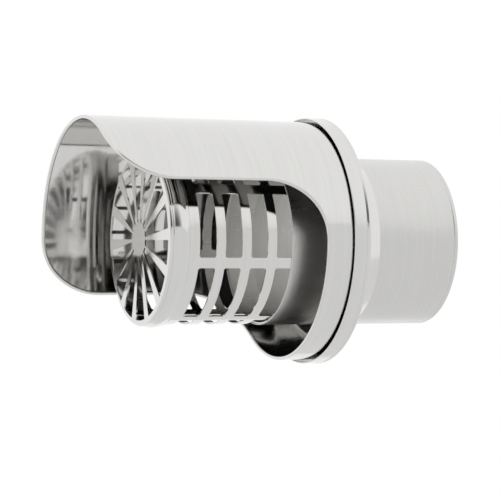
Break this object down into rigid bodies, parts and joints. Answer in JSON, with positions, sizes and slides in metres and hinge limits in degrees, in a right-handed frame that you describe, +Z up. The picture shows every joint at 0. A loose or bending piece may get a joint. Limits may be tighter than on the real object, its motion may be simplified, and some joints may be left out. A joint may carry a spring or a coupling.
{
  "type": "chimney cowl",
  "caption": "Horizontal wall-terminal flue cowl: a cut-away rain hood over a slotted guard cage with a spoked cap, on a spun back pan and a duct spigot.",
  "frame": {"origin": "on the duct axis, in the plane of the back pan's flat, which lies against the wall", "axes": "+Y along the duct axis into the wall, +Z up towards the closed side of the hood, +X to the right seen from the front"},
  "size_m": [0.1472, 0.2199, 0.1472],
  "materials": {
    "satin_steel": "satin rolled stainless steel",
    "pan_steel": "bright spun stainless steel",
    "hood_steel": "bright polished stainless steel",
    "cage_steel": "mirror polished stainless steel",
    "cap_steel": "polished stainless steel with fine turning lines",
    "rivet_steel": "plain stainless steel"
  },
  "bodies": {
    "root": {"duct_tube": "satin_steel", "back_pan": "pan_steel", "hood_shell": "hood_steel", "guard_cage": "cage_steel", "front_cap": "cap_steel", "cap_rivet": "rivet_steel"}
  },
  "joints": []
}
